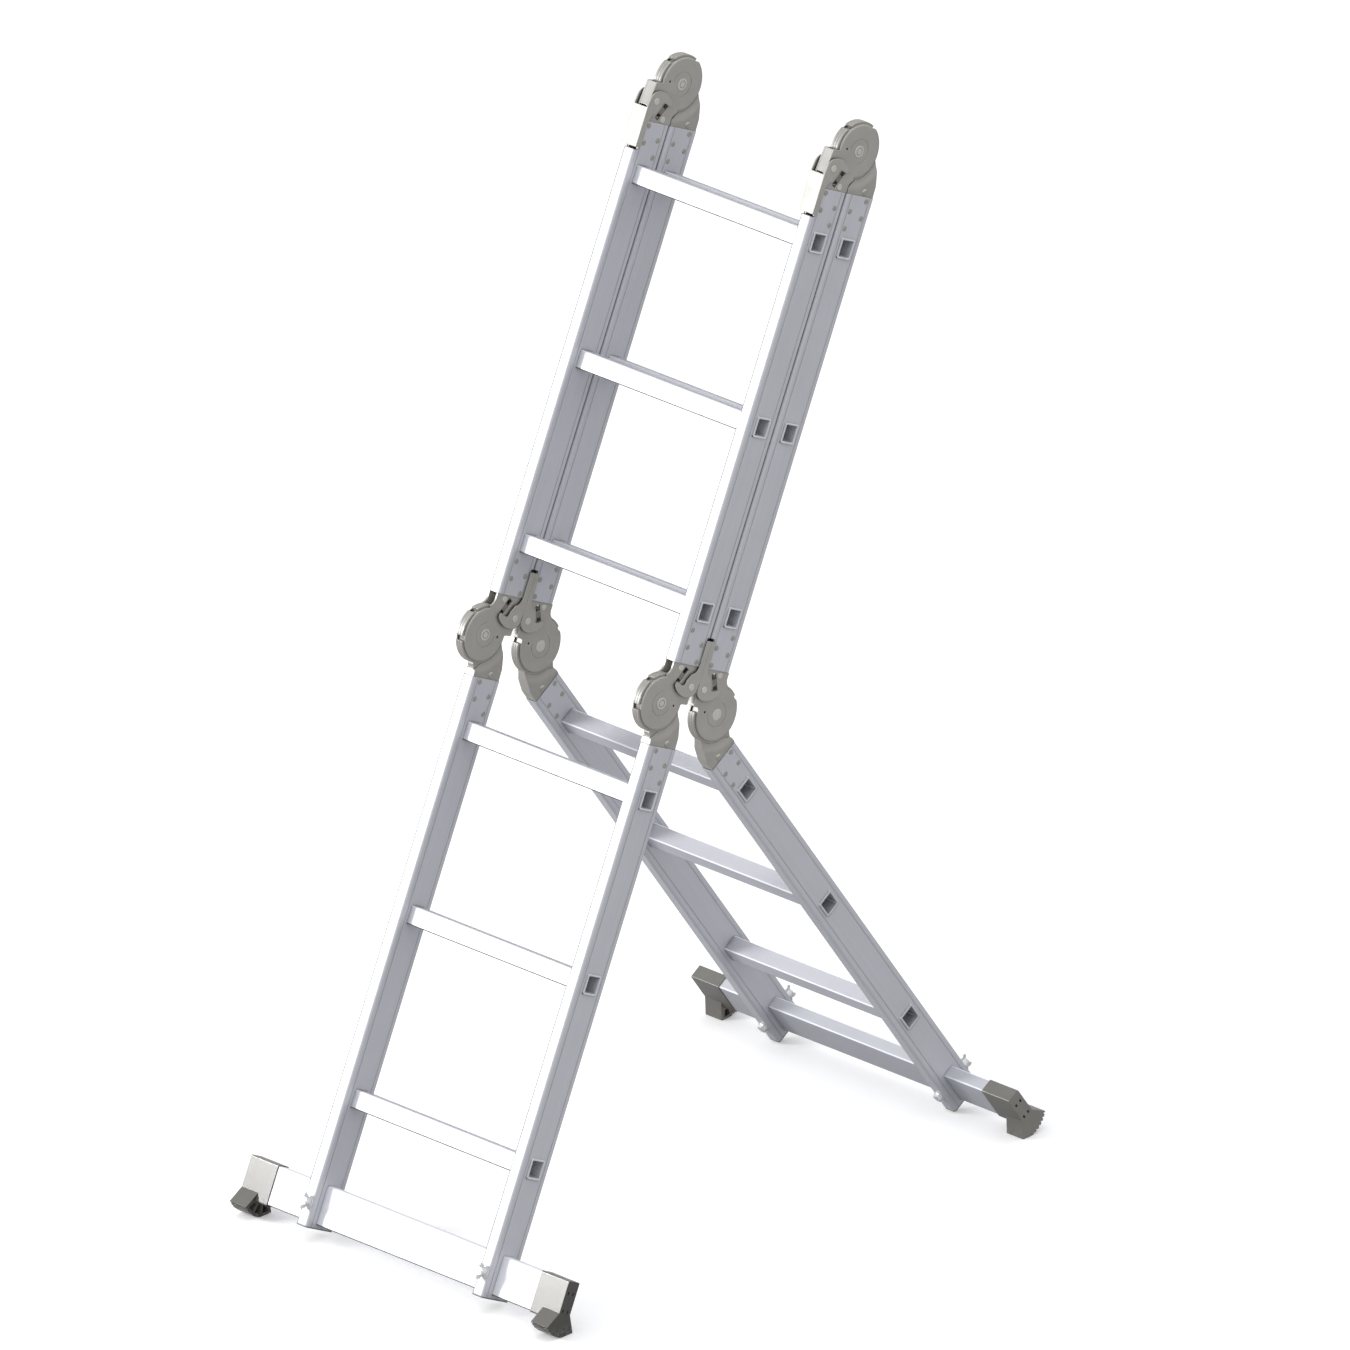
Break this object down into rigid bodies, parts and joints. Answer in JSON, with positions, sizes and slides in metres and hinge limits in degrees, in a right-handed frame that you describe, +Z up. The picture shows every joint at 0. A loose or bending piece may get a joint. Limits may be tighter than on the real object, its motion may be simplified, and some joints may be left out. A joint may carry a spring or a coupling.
{
  "type": "multi position ladder",
  "caption": "Folding aluminium ladder of four rung sections joined by locking hinges, standing on two stabiliser bars with curved plastic feet.",
  "frame": {"origin": "on the floor, at the middle of the object's box from left to right and from front to back", "axes": "+Z up, +X to the ladder's right seen from the climbing side, -Y towards the climbing side (front), +Y towards the supporting leg"},
  "size_m": [0.663, 1.0095, 1.6147],
  "materials": {
    "rail": "satin extruded aluminium with fine lengthwise lines",
    "rung": "satin extruded aluminium with a ribbed tread",
    "bar": "satin extruded aluminium",
    "hinge_outer": "semi-matt warm grey coated pressed steel",
    "hinge_inner": "semi-matt warm grey coated pressed steel",
    "pin": "satin steel rivet head",
    "lever": "semi-matt warm grey coated pressed steel",
    "lock_bolt": "satin steel",
    "spring": "bright spring steel",
    "rivet": "dull steel rivet",
    "foot": "dark warm grey moulded plastic",
    "zinc": "bright zinc plated steel",
    "end_cap": "dark moulded plastic plug"
  },
  "bodies": {
    "upper_front": {"upper_front_rail_left": "rail", "upper_front_rail_right": "rail", "upper_front_rungs": "rung", "upper_front_rivets": "rivet", "front_hinge_outer_left": "hinge_outer", "front_hinge_outer_right": "hinge_outer", "top_hinge_outer_left": "hinge_outer", "top_hinge_outer_right": "hinge_outer", "front_hinge_pins": "pin", "top_hinge_pins": "pin", "front_lock_springs": "spring", "top_lock_springs": "spring"},
    "lower_front": {"lower_front_rail_left": "rail", "lower_front_rail_right": "rail", "lower_front_rungs": "rung", "lower_front_rivets": "rivet", "front_hinge_inner_left": "hinge_inner", "front_hinge_inner_right": "hinge_inner", "front_stabiliser_bar": "bar", "front_foot_left": "foot", "front_foot_right": "foot", "front_stabiliser_bolts": "zinc", "front_rail_end_caps": "end_cap"},
    "upper_rear": {"upper_rear_rail_left": "rail", "upper_rear_rail_right": "rail", "upper_rear_rungs": "rung", "upper_rear_rivets": "rivet", "top_hinge_inner_left": "hinge_inner", "top_hinge_inner_right": "hinge_inner", "rear_hinge_outer_left": "hinge_outer", "rear_hinge_outer_right": "hinge_outer", "rear_hinge_pins": "pin", "rear_lock_springs": "spring"},
    "lower_rear": {"lower_rear_rail_left": "rail", "lower_rear_rail_right": "rail", "lower_rear_rungs": "rung", "lower_rear_rivets": "rivet", "rear_hinge_inner_left": "hinge_inner", "rear_hinge_inner_right": "hinge_inner", "rear_stabiliser_bar": "bar", "rear_foot_left": "foot", "rear_foot_right": "foot", "rear_stabiliser_bolts": "zinc", "rear_rail_end_caps": "end_cap"},
    "front_lever_left": {"front_release_lever_left": "lever"},
    "front_lock_left": {"front_lock_bolt_left": "lock_bolt"},
    "front_lever_right": {"front_release_lever_right": "lever"},
    "front_lock_right": {"front_lock_bolt_right": "lock_bolt"},
    "top_lever_left": {"top_release_lever_left": "lever"},
    "top_lock_left": {"top_lock_bolt_left": "lock_bolt"},
    "top_lever_right": {"top_release_lever_right": "lever"},
    "top_lock_right": {"top_lock_bolt_right": "lock_bolt"},
    "rear_lever_left": {"rear_release_lever_left": "lever"},
    "rear_lock_left": {"rear_lock_bolt_left": "lock_bolt"},
    "rear_lever_right": {"rear_release_lever_right": "lever"},
    "rear_lock_right": {"rear_lock_bolt_right": "lock_bolt"},
    "front_nut_left": {"front_wing_nut_left": "zinc"},
    "front_nut_right": {"front_wing_nut_right": "zinc"},
    "rear_nut_left": {"rear_wing_nut_left": "zinc"},
    "rear_nut_right": {"rear_wing_nut_right": "zinc"}
  },
  "joints": [
    {"name": "fold_front", "type": "hinge", "parent": "upper_front", "child": "lower_front", "pos_m": [0, -0.10608, 0.83954], "axis": [-1, 0, 0], "range_deg": [0, 180], "stiffness_Nm_per_rad": 6000},
    {"name": "fold_top", "type": "hinge", "parent": "upper_front", "child": "upper_rear", "pos_m": [0, 0.32237, 1.57041], "axis": [-1, 0, 0], "range_deg": [-180, 0], "stiffness_Nm_per_rad": 6000},
    {"name": "fold_rear", "type": "hinge", "parent": "upper_rear", "child": "lower_rear", "pos_m": [0, 0.00334, 0.78558], "axis": [1, 0, 0], "range_deg": [-58, 120], "stiffness_Nm_per_rad": 6000},
    {"name": "squeeze_front_left", "type": "hinge", "parent": "upper_front", "child": "front_lever_left", "pos_m": [-0.1834, -0.05, 0.84756], "axis": [1, 0, 0], "range_deg": [0, 4], "stiffness_Nm_per_rad": 4},
    {"name": "lock_front_left", "type": "slide", "parent": "upper_front", "child": "front_lock_left", "axis": [0, 0.8217, 0.57], "range_m": [0, 0.006], "deforming": ["front_lock_springs"]},
    {"name": "squeeze_front_right", "type": "hinge", "parent": "upper_front", "child": "front_lever_right", "pos_m": [0.1834, -0.05, 0.84756], "axis": [1, 0, 0], "range_deg": [0, 4], "stiffness_Nm_per_rad": 4},
    {"name": "lock_front_right", "type": "slide", "parent": "upper_front", "child": "front_lock_right", "axis": [0, 0.8217, 0.57], "range_m": [0, 0.006]},
    {"name": "squeeze_top_left", "type": "hinge", "parent": "upper_front", "child": "top_lever_left", "pos_m": [-0.1834, 0.26629, 1.56239], "axis": [1, 0, 0], "range_deg": [0, 4], "stiffness_Nm_per_rad": 4},
    {"name": "lock_top_left", "type": "slide", "parent": "upper_front", "child": "top_lock_left", "axis": [0, -0.8217, -0.57], "range_m": [0, 0.006], "deforming": ["top_lock_springs"]},
    {"name": "squeeze_top_right", "type": "hinge", "parent": "upper_front", "child": "top_lever_right", "pos_m": [0.1834, 0.26629, 1.56239], "axis": [1, 0, 0], "range_deg": [0, 4], "stiffness_Nm_per_rad": 4},
    {"name": "lock_top_right", "type": "slide", "parent": "upper_front", "child": "top_lock_right", "axis": [0, -0.8217, -0.57], "range_m": [0, 0.006]},
    {"name": "squeeze_rear_left", "type": "hinge", "parent": "upper_rear", "child": "rear_lever_left", "pos_m": [-0.1834, -0.02444, 0.83496], "axis": [-1, 0, 0], "range_deg": [0, 4], "stiffness_Nm_per_rad": 4},
    {"name": "lock_rear_left", "type": "slide", "parent": "upper_rear", "child": "rear_lock_left", "axis": [0, -0.048, 0.9988], "range_m": [0, 0.006], "deforming": ["rear_lock_springs"]},
    {"name": "squeeze_rear_right", "type": "hinge", "parent": "upper_rear", "child": "rear_lever_right", "pos_m": [0.1834, -0.02444, 0.83496], "axis": [-1, 0, 0], "range_deg": [0, 4], "stiffness_Nm_per_rad": 4},
    {"name": "lock_rear_right", "type": "slide", "parent": "upper_rear", "child": "rear_lock_right", "axis": [0, -0.048, 0.9988], "range_m": [0, 0.006]},
    {"name": "spin_front_nut_left", "type": "hinge", "parent": "lower_front", "child": "front_nut_left", "pos_m": [-0.1834, -0.48732, 0.06309], "axis": [0, -0.8969, 0.4423], "continuous": true},
    {"name": "spin_front_nut_right", "type": "hinge", "parent": "lower_front", "child": "front_nut_right", "pos_m": [0.1834, -0.48732, 0.06309], "axis": [0, -0.8969, 0.4423], "continuous": true},
    {"name": "spin_rear_nut_left", "type": "hinge", "parent": "lower_rear", "child": "rear_nut_left", "pos_m": [-0.1834, 0.48265, 0.06552], "axis": [0, 0.8315, 0.5556], "continuous": true},
    {"name": "spin_rear_nut_right", "type": "hinge", "parent": "lower_rear", "child": "rear_nut_right", "pos_m": [0.1834, 0.48265, 0.06552], "axis": [0, 0.8315, 0.5556], "continuous": true}
  ],
  "couplings": [
    {"joint": "lock_front_left", "follows": "squeeze_front_left", "m_per_rad": 0.085858},
    {"joint": "lock_front_right", "follows": "squeeze_front_right", "m_per_rad": 0.085858},
    {"joint": "lock_top_left", "follows": "squeeze_top_left", "m_per_rad": 0.085858},
    {"joint": "lock_top_right", "follows": "squeeze_top_right", "m_per_rad": 0.085858},
    {"joint": "lock_rear_left", "follows": "squeeze_rear_left", "m_per_rad": 0.085858},
    {"joint": "lock_rear_right", "follows": "squeeze_rear_right", "m_per_rad": 0.085858}
  ]
}
